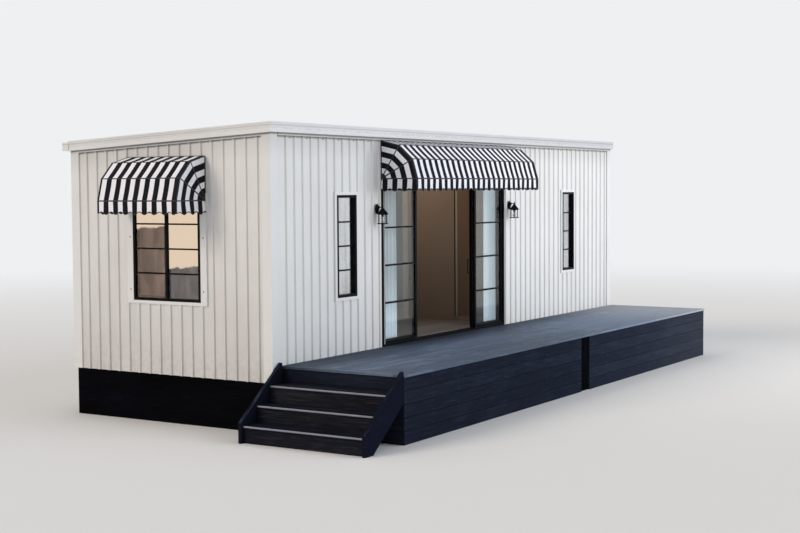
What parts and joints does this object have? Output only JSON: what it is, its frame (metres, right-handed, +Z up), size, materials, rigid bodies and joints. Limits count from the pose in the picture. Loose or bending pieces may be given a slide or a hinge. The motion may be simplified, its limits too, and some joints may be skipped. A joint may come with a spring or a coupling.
{
  "type": "container house",
  "caption": "Long portable cabin in white ribbed steel with sliding glass doors, a raised black deck with steps, striped hood awnings and wall lanterns.",
  "frame": {"origin": "middle of the footprint of the cabin with its deck, steps and awning, on the ground", "axes": "+X along the front to the right, +Y from the deck side to the back, +Z up"},
  "size_m": [10.302, 4.871, 3.558],
  "materials": {
    "cladding": "satin off-white paint on ribbed steel",
    "trim": "satin white paint on folded steel",
    "roofing": "satin pale paint, weathered",
    "lining": "flat paint on lining board",
    "chassis": "matt black paint",
    "floor_boards": "grey-brown plank flooring, matt",
    "black_metal": "satin black powder coat",
    "lantern_metal": "matt black paint",
    "awning_tube": "satin black paint",
    "glass": "clear window glass",
    "lantern_glass": "clear lantern glass",
    "striped_cloth": "black and white striped canvas",
    "curtain": "plain pale curtain cloth",
    "black_timber": "black stained boards, weathered on top"
  },
  "bodies": {
    "cabin": {"back_cladding": "cladding", "back_wall": "lining", "curtain_rail": "black_metal", "curtains": "curtain", "deck_joists": "black_timber", "deck_skirts": "black_timber", "deck_surface": "black_timber", "door_frame": "black_metal", "end_awning_cover": "striped_cloth", "end_awning_frame": "awning_tube", "end_window_frame": "black_metal", "fascia": "trim", "fixed_leaf_frames": "black_metal", "fixed_leaf_glass": "glass", "floor": "floor_boards", "floor_frame": "chassis", "front_awning_cover": "striped_cloth", "front_awning_frame": "awning_tube", "front_cladding": "cladding", "front_wall": "lining", "gutter": "trim", "lantern_bodies": "lantern_metal", "lantern_glass": "lantern_glass", "left_end_cladding": "cladding", "left_end_wall": "lining", "narrow_window_frames": "black_metal", "partition": "lining", "plinth": "black_timber", "right_end_cladding": "cladding", "right_end_wall": "lining", "roof_panel": "lining", "roof_sheet": "roofing", "step_risers": "black_timber", "step_stringers": "black_timber", "step_treads": "black_timber", "wall_flashings": "trim", "window_glass": "glass", "window_surrounds": "trim"},
    "left_leaf": {"left_leaf_frame": "black_metal", "left_leaf_glass": "glass", "left_leaf_handle": "black_metal"},
    "right_leaf": {"right_leaf_frame": "black_metal", "right_leaf_glass": "glass", "right_leaf_handle": "black_metal"}
  },
  "joints": [
    {"name": "left_leaf_slide", "type": "slide", "parent": "cabin", "child": "left_leaf", "axis": [1, 0, 0], "range_m": [0, 0.767]},
    {"name": "right_leaf_slide", "type": "slide", "parent": "cabin", "child": "right_leaf", "axis": [-1, 0, 0], "range_m": [0, 0.767]}
  ]
}
